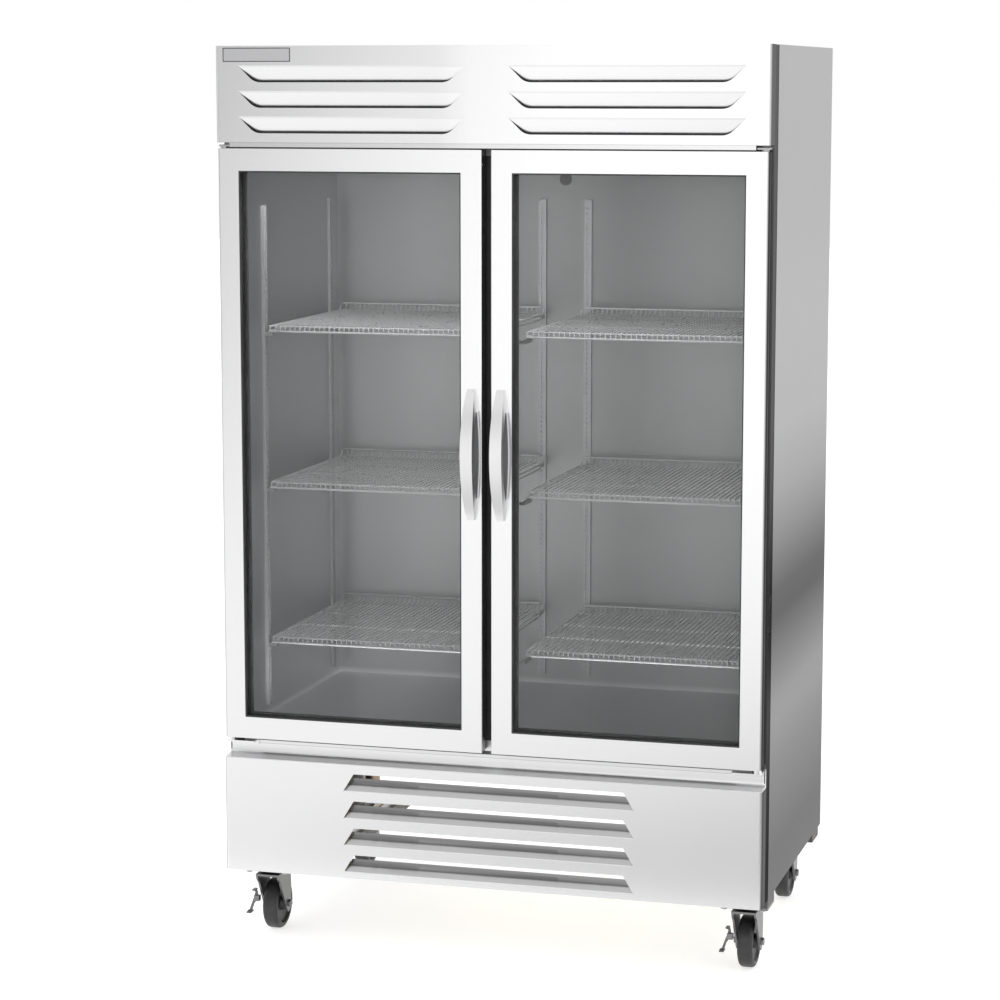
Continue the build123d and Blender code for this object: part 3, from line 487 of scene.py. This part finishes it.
def wire_shelf(node):
    """The shelf as it is really bent: every wire turns down in front and up behind."""
    low, high = low_high(node)
    fine, heavy = 1.6 * MM, 2.6 * MM
    y0, y1 = low.y + heavy, high.y - heavy
    z_low, z_high = low.z + heavy, high.z - heavy
    z = z_low + 15.0 * MM
    x0, x1 = low.x + heavy, high.x - heavy
    count = int((x1 - x0 - 8 * MM) / WIRE_PITCH)
    first = (x0 + x1) / 2 - WIRE_PITCH * (count - 1) / 2
    fine_paths = []
    for i in range(count):
        x = first + WIRE_PITCH * i
        fine_paths.append([
            (x, y0 + 1.5 * MM, z_low + 2 * MM), (x, y0 + 3 * MM, z - 5 * MM), (x, y0 + 6 * MM, z - 1 * MM),
            (x, y0 + 11 * MM, z), (x, y1 - 12 * MM, z), (x, y1 - 7 * MM, z + 1 * MM),
            (x, y1 - 3 * MM, z + 5 * MM), (x, y1 - 1.5 * MM, z_high - 1 * MM),
        ])
    drop = fine + heavy - 0.6 * MM
    heavy_paths = [
        [(x0, y0, z_low), (x1, y0, z_low)],
        [(x0 + 8 * MM, y1, z_high), (x1 - 8 * MM, y1, z_high)],
        [(x0 + 5 * MM, y0 + 8 * MM, z - drop), (x1 - 5 * MM, y0 + 8 * MM, z - drop)],
    ]
    for share in (0.35, 0.66, 0.955):
        y = y0 + (y1 - y0) * share
        heavy_paths.append([(x0, y, z - drop), (x1, y, z - drop)])
    for x in (x0, x1):
        heavy_paths.append([
            (x, y0, z_low), (x, y1 - 30 * MM, z_low + 1 * MM), (x, y1 - 18 * MM, z - drop),
            (x, y1 - 3 * MM, z - drop + 4 * MM), (x, y1, z_high - 4 * MM),
        ])
        heavy_paths.append([
            (x, y0 + 8 * MM, z_low), (x, y0 + 8 * MM, z - 4 * MM), (x, y0 + 12 * MM, z - drop),
            (x, y1 - 18 * MM, z - drop),
        ])
    wires(node + "_grid", fine_paths, fine, WIRE, "cabinet")
    rails = wires(node + "_rails", heavy_paths, heavy, WIRE, "cabinet", sides=2)
    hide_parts(node)


for side in SIDES:
    for level in LEVELS:
        wire_shelf(f"{side}_shelf_{level}")

# ---- pilasters ----
SLOT_PITCH = 12.7 * MM
STRIP_HALF = 10.0 * MM
STRIP_DEEP = 7.0 * MM


def slotted_strip(bm, origin, across, out, z0, z1):
    """A channel that stands on a wall, with punched slots down its face."""
    across, out = Vector(across), Vector(out)

    def at(u, w, z):
        point = Vector(origin) + across * u + out * w
        return bm.verts.new((point.x, point.y, z))

    count = int((z1 - z0 - 12 * MM) / SLOT_PITCH)
    half_w, half_h = 2.6 * MM, 3.1 * MM
    levels = [z0]
    for i in range(count):
        centre = z0 + 12 * MM + SLOT_PITCH * i
        levels += [centre - half_h, centre + half_h]
    levels.append(z1)
    columns = [-STRIP_HALF, -half_w, half_w, STRIP_HALF]
    face = [[at(u, STRIP_DEEP, z) for u in columns] for z in levels]
    deep = [[at(u, STRIP_DEEP - 3 * MM, z) for u in columns[1:3]] for z in levels]
    for i in range(len(levels) - 1):
        a, b = face[i], face[i + 1]
        bm.faces.new((a[0], a[1], b[1], b[0]))
        bm.faces.new((a[2], a[3], b[3], b[2]))
        if i % 2 == 0:
            bm.faces.new((a[1], a[2], b[2], b[1]))
            continue
        c, d = deep[i], deep[i + 1]
        bm.faces.new((a[1], c[0], d[0], b[1]))
        bm.faces.new((c[1], a[2], b[2], d[1]))
        bm.faces.new((a[1], a[2], c[1], c[0]))
        bm.faces.new((d[0], d[1], b[2], b[1]))
        bm.faces.new((c[0], c[1], d[1], d[0]))
    for edge in (0, 3):
        u = columns[edge]
        base = [at(u, 0.0, z) for z in levels]
        for i in range(len(levels) - 1):
            bm.faces.new((base[i], face[i][edge], face[i + 1][edge], base[i + 1]))


def strip_places():
    """Each strip's wall point, the direction across it and the direction out of the wall."""
    low, high = low_high("pilasters")
    rows = []
    for y in (176.0, 662.0):
        rows.append(((low.x, y * MM - Y_MIDDLE, 0), (0, 1, 0), (1, 0, 0)))
        rows.append(((high.x, y * MM - Y_MIDDLE, 0), (0, 1, 0), (-1, 0, 0)))
    for x in (-59.6, 59.6):
        rows.append(((x * MM, high.y, 0), (1, 0, 0), (0, -1, 0)))
    for x in (-11.0, 11.0):
        rows.append(((x * MM, low.y, 0), (1, 0, 0), (0, 1, 0)))
    return rows, low.z, high.z


def strips_mesh(bm):
    rows, z0, z1 = strip_places()
    for origin, across, out in rows:
        slotted_strip(bm, origin, across, out, z0, z1)
    bmesh.ops.remove_doubles(bm, verts=bm.verts, dist=1e-6)


strips = new_object(
    "slotted_pilasters", mesh_from("slotted_pilasters", strips_mesh), STRIP, "cabinet"
)
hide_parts("pilasters")

# ---- doors ----
def ring_mesh(low, high, hole_low, hole_high):
    """A frame in the door's plane between two y values, its hole right through."""
    def build(bm):
        outer = [(low.x, low.z), (high.x, low.z), (high.x, high.z), (low.x, high.z)]
        inner = [
            (hole_low.x, hole_low.z), (hole_high.x, hole_low.z),
            (hole_high.x, hole_high.z), (hole_low.x, hole_high.z),
        ]
        loops = []
        for y in (low.y, high.y):
            loops.append([bm.verts.new((x, y, z)) for x, z in outer])
            loops.append([bm.verts.new((x, y, z)) for x, z in inner])
        for i in range(4):
            j = (i + 1) % 4
            bm.faces.new((loops[0][i], loops[0][j], loops[1][j], loops[1][i]))
            bm.faces.new((loops[2][i], loops[2][j], loops[3][j], loops[3][i]))
            bm.faces.new((loops[0][i], loops[0][j], loops[2][j], loops[2][i]))
            bm.faces.new((loops[1][i], loops[1][j], loops[3][j], loops[3][i]))
    return build


OPENING_INSET = 50.1 * MM
for side in SIDES:
    low, high = low_high(f"{side}_door_frame")
    hole_low = Vector((low.x + OPENING_INSET, 0, low.z + 52.2 * MM))
    hole_high = Vector((high.x - OPENING_INSET - 0.2 * MM, 0, high.z - 52.1 * MM))
    bead_low = Vector((hole_low.x - 0.4 * MM, low.y + 1.5 * MM, hole_low.z - 0.4 * MM))
    bead_high = Vector((hole_high.x + 0.4 * MM, low.y + 12.9 * MM, hole_high.z + 0.4 * MM))
    lip = Vector((3.2 * MM, 0, 3.2 * MM))
    bead = new_object(
        f"{side}_glazing_bead",
        mesh_from(f"{side}_glazing_bead", ring_mesh(bead_low, bead_high, hole_low + lip, hole_high - lip)),
        RUBBER, f"{side}_door",
    )
    bevel(bead, 0.6 * MM)
    for node, width in (("door_frame", 0.8), ("door_inner_frame", 1.5)):
        bevel(NODES[f"{side}_{node}"], width * MM)

# ---- handle linings ----
def lining_mesh(bm, centre_x, y, centre_z):
    """A pointed oval pad on the handle's base, inside its finger opening."""
    half_tall, narrow, wide, thick = 108 * MM, 12.0 * MM, 18.0 * MM, 0.8 * MM
    steps = 24
    outline = []
    for side, turn in ((1, 1), (-1, -1)):
        for i in range(steps + 1):
            up = -turn + turn * 2 * i / steps
            reach = narrow + (wide - narrow) * (1 - up * up)
            outline.append((centre_x + side * reach, centre_z + half_tall * up))
    back = [bm.verts.new((x, y, z)) for x, z in outline]
    front = [bm.verts.new((x, y - thick, z)) for x, z in outline]
    bm.faces.new(back)
    bm.faces.new(front)
    for i in range(len(outline)):
        j = (i + 1) % len(outline)
        bm.faces.new((back[i], back[j], front[j], front[i]))


BASE_THICK = 4.5 * MM
for side in SIDES:
    low, high = low_high(f"{side}_door_handle")
    middle = (low + high) / 2
    lining = new_object(
        f"{side}_grip_lining",
        mesh_from(f"{side}_grip_lining", lambda bm: lining_mesh(bm, middle.x, FACE - BASE_THICK, middle.z)),
        GRIP, f"{side}_door",
    )
    bevel(lining, 0.3 * MM)

# ---- header screen and seal ----
def header_screen(bm):
    """A dark folded sheet close behind the header's louvres."""
    low, high = low_high("header_panel")
    y = low.y + 14 * MM
    reach = 0.615
    add_box(bm, (-reach, y, low.z + 15 * MM), (reach, y + 1 * MM, high.z - 7 * MM))
    add_box(bm, (-reach, y + 1 * MM, low.z + 15 * MM), (reach, y + 12 * MM, low.z + 16 * MM))
    add_box(bm, (-reach, y + 1 * MM, high.z - 8 * MM), (reach, y + 12 * MM, high.z - 7 * MM))


def header_seal(bm):
    """A soft strip that fills the line between the header and the door tops."""
    low, _ = low_high("header_panel")
    face_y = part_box("top_panel")[0][1]
    for a, b in ((-0.626, -0.014), (0.014, 0.626)):
        add_box(bm, (a, low.y + 4 * MM, low.z - 2.4 * MM), (b, face_y - 4 * MM, low.z - 0.05 * MM))
    add_box(bm, (-0.0138, low.y + 6 * MM, low.z - 2.2 * MM), (0.0138, face_y - 4 * MM, low.z - 0.05 * MM))


new_object("header_screen", mesh_from("header_screen", header_screen), PLASTIC, "cabinet")
new_object("header_seal", mesh_from("header_seal", header_seal), RUBBER, "cabinet")

# ---- screws and bolts ----
def back_panel_screws(bm):
    low, high = low_high("back_panel")
    inset = 12 * MM
    across, up = 7, 9
    for i in range(across):
        x = low.x + inset + (high.x - low.x - 2 * inset) * i / (across - 1)
        for z in (low.z + inset, high.z - inset):
            add_screw(bm, (x, high.y, z), 1, 1)
    for i in range(1, up):
        z = low.z + inset + (high.z - low.z - 2 * inset) * i / up
        for x in (low.x + inset, high.x - inset):
            add_screw(bm, (x, high.y, z), 1, 1)


def ceiling_screws(bm):
    low, high = low_high("evaporator_housing")
    for x in (-0.52, -0.26, 0.0, 0.26, 0.52):
        for y in (low.y + 12 * MM, high.y - 10 * MM):
            add_screw(bm, (x, y, low.z), 2, -1)


def cover_screws(bm):
    low, high = low_high("electrical_box")
    for y in (low.y + 12 * MM, low.y + 76 * MM):
        for z in (low.z + 12 * MM, high.z - 12 * MM):
            add_screw(bm, (high.x, y, z), 0, 1, 2.6 * MM, 1.5 * MM)


def sill_end_strips(bm):
    """Thin upright seals at both ends of the sill's upright face."""
    low, high = low_high("door_sill")
    y = FACE + 41 * MM
    for a, b in ((low.x + 0.2 * MM, low.x + 2.6 * MM), (high.x - 2.6 * MM, high.x - 0.2 * MM)):
        add_box(bm, (a, y, low.z + 12 * MM), (b, y + 1.2 * MM, 512 * MM))


def door_edge_screws(bm):
    low, high = low_high("left_door_frame")
    for z in (low.z + 34 * MM, high.z - 34 * MM):
        add_screw(bm, (high.x, FACE + 10 * MM, z), 0, 1, 2.6 * MM, 0.8 * MM)


PLATE_UNDER_Z = 0.160
# The plates' middles, in millimetres back from the doors' face.
PLATE_MIDDLE = {"front": 157.0, "rear": 779.0}


def plate_bolts(bm):
    """Hexagon heads under the four corners of each caster plate."""
    for row in ROWS:
        for side in SIDES:
            low, high = low_high(f"caster_fork_{row}_{side}")
            x = (low.x + high.x) / 2
            y = PLATE_MIDDLE[row] * MM - Y_MIDDLE
            for dx in (-46, 46):
                for dy in (-31, 31):
                    place = (x + dx * MM, y + dy * MM, PLATE_UNDER_Z)
                    shape = [(0.0, 7.4 * MM), (-4.2 * MM, 7.4 * MM), (-4.8 * MM, 6.4 * MM)]
                    add_turned(bm, shape, place, 2, 6)


for name, build, body, slot in (
    ("back_panel_screws", back_panel_screws, "cabinet", "zinc"),
    ("ceiling_screws", ceiling_screws, "cabinet", "zinc"),
    ("cover_screws", cover_screws, "cabinet", "zinc"),
    ("door_edge_screws", door_edge_screws, "left_door", "zinc"),
    ("plate_bolts", plate_bolts, "cabinet", "zinc"),
):
    new_object(name, mesh_from(name, build), ZINC, body)

new_object(
    "sill_end_strips", mesh_from("sill_end_strips", sill_end_strips), RUBBER, "cabinet"
)


def wall_plug(bm):
    """A domed plug in the rear wall of the storage space."""
    _, high = low_high("pilasters")
    shape = [(0.0, 16.0 * MM), (-1.2 * MM, 15.8 * MM), (-2.4 * MM, 13.0 * MM), (-3.0 * MM, 6.0 * MM)]
    add_turned(bm, shape, (0.0, high.y, 1.850), 1, 32)


new_object("wall_plug", mesh_from("wall_plug", wall_plug), INNER, "cabinet")

# ---- condenser fan guard ----
def fan_guard():
    """Wire rings on four spokes that bend forward to the shroud."""
    fan_low, fan_high = low_high("condenser_fan")
    centre = (fan_low + fan_high) / 2
    y = fan_high.y + 6 * MM
    plate_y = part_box("condenser_shroud")[1][1]
    rings = []
    for i in range(7):
        radius = (36 + 9.4 * i) * MM
        turn = [2 * math.pi * j / 48 for j in range(48)]
        rings.append([(centre.x + radius * math.cos(a), y, centre.z + radius * math.sin(a)) for a in turn])
    spokes = []
    for i in range(4):
        a = math.pi / 4 + math.pi / 2 * i
        reach = [(36 * MM, y + 2 * MM), (94 * MM, y + 2 * MM), (97 * MM, y - 1 * MM), (97 * MM, plate_y)]
        spokes.append([(centre.x + r * math.cos(a), at, centre.z + r * math.sin(a)) for r, at in reach])
    wires("condenser_guard_rings", rings, 1.0 * MM, BLACK, "cabinet", closed=True)
    wires("condenser_guard_spokes", spokes, 1.4 * MM, BLACK, "cabinet")


fan_guard()
bevel(NODES["header_panel"], 0.35 * MM)

# ---- camera ----
# A long lens from the front right, a little below the cabinet's top and looking down.
LENS_MM = 103.81
CAMERA_PLACE = (1.8463, -6.80425, 2.090)
LOOK_DOWN = 0.1434
TURN_LEFT = 0.2764

camera_data = bpy.data.cameras.new("camera")
camera_data.lens = LENS_MM
camera_data.sensor_width = 36.0
camera_data.clip_end = 100.0
camera = bpy.data.objects.new("camera", camera_data)
camera.location = CAMERA_PLACE
camera.rotation_euler = (math.pi / 2 - LOOK_DOWN, 0.0, TURN_LEFT)
bpy.context.scene.collection.objects.link(camera)
bpy.context.scene.camera = camera

# ---- surroundings ----
world = bpy.data.worlds.new("studio")
bpy.context.scene.world = world
world.use_nodes = True
world.node_tree.nodes["Background"].inputs["Color"].default_value = (1.0, 1.0, 1.0, 1.0)
world.node_tree.nodes["Background"].inputs["Strength"].default_value = 1.0
bpy.context.scene.view_settings.view_transform = "Standard"

floor_shader = Shader("pale_floor", (0.60, 0.60, 0.60), 0.8)
floor_shader.tint(floor_shader.noise(3.0), (0.59, 0.59, 0.59), 0.3)
floor_shader.set("Emission Color", (1.0, 1.0, 1.0, 1.0))
floor_shader.set("Emission Strength", 0.66)


def floor_mesh(bm):
    bmesh.ops.create_grid(bm, x_segments=8, y_segments=8, size=30.0)
    for vertex in bm.verts:
        vertex.co.z = -0.0005


floor = new_object("floor", mesh_from("floor", floor_mesh), floor_shader.material, None)


def area_light(name, place, target, size, power):
    data = bpy.data.lights.new(name, "AREA")
    data.shape = "RECTANGLE"
    data.size, data.size_y = size
    data.energy = power
    lamp = bpy.data.objects.new(name, data)
    lamp.location = place
    lamp.rotation_euler = (Vector(target) - Vector(place)).to_track_quat("-Z", "Y").to_euler()
    lamp.visible_glossy = False
    bpy.context.scene.collection.objects.link(lamp)


def cabinet_light(name, place, target, size, power):
    """The strip light inside a compartment, unseen itself."""
    area_light(name, place, target, size, power)
    bpy.data.objects[name].visible_camera = False


for number, x in enumerate((-0.32, 0.32)):
    cabinet_light(f"inside_{number}", (x, FACE + 0.10, 1.90), (x, FACE + 0.50, 1.0), (0.5, 0.06), 3.0)
    cabinet_light(f"inside_low_{number}", (x, FACE + 0.08, 0.60), (x, FACE + 0.40, 1.2), (0.5, 0.06), 1.2)
area_light("key", (-2.6, -5.0, 4.6), (0, 0, 1.2), (4.0, 4.0), 70)
area_light("fill", (4.2, -4.0, 3.0), (0, 0, 1.0), (3.0, 3.0), 20)


# The ramp holds each card's tones divided by this, and the glow multiplies them back.
CARD_STRENGTH = 2.0


def reflector(name, corners, stops, direction):
    """A glowing card seen only in reflections, with its brightness graded along a direction."""
    shader = bpy.data.materials.new(name)
    shader.use_nodes = True
    tree = shader.node_tree
    tree.nodes.clear()
    coords = tree.nodes.new("ShaderNodeTexCoord")
    along = tree.nodes.new("ShaderNodeVectorMath")
    along.operation = "DOT_PRODUCT"
    along.inputs[1].default_value = direction
    tree.links.new(coords.outputs["Object"], along.inputs[0])
    glow = tree.nodes.new("ShaderNodeEmission")
    glow.inputs["Strength"].default_value = CARD_STRENGTH
    tone = graded(tree, along.outputs["Value"], stops, 1 / CARD_STRENGTH)
    tree.links.new(tone, glow.inputs["Color"])
    out = tree.nodes.new("ShaderNodeOutputMaterial")
    tree.links.new(glow.outputs["Emission"], out.inputs["Surface"])

    def card_mesh(bm):
        bm.faces.new([bm.verts.new(corner) for corner in corners])

    card = new_object(name, mesh_from(name, card_mesh), shader, None)
    card.visible_camera = False
    card.visible_diffuse = False
    card.visible_transmission = False
    card.visible_volume_scatter = False
    card.visible_shadow = False


reflector(
    "front_wall_card",
    [(-9, -9, -0.1), (4, -9, -0.1), (4, -9, 7), (-9, -9, 7)],
    [(-5.6, 0.34), (-4.64, 0.56), (-4.19, 0.77), (-3.75, 0.98), (-3.42, 1.12), (-2.86, 1.3), (-1.0, 1.3)],
    (1.0, 0.0, -0.29),
)
reflector(
    "front_floor_card",
    [(-9, -9, 0.001), (4, -9, 0.001), (4, -1.0, 0.001), (-9, -1.0, 0.001)],
    [(-4.0, 1.06), (-2.85, 1.05), (-2.3, 0.98), (-1.6, 0.81), (-0.84, 0.58), (0.2, 0.52)],
    (1.0, 0.7, 0.0),
)
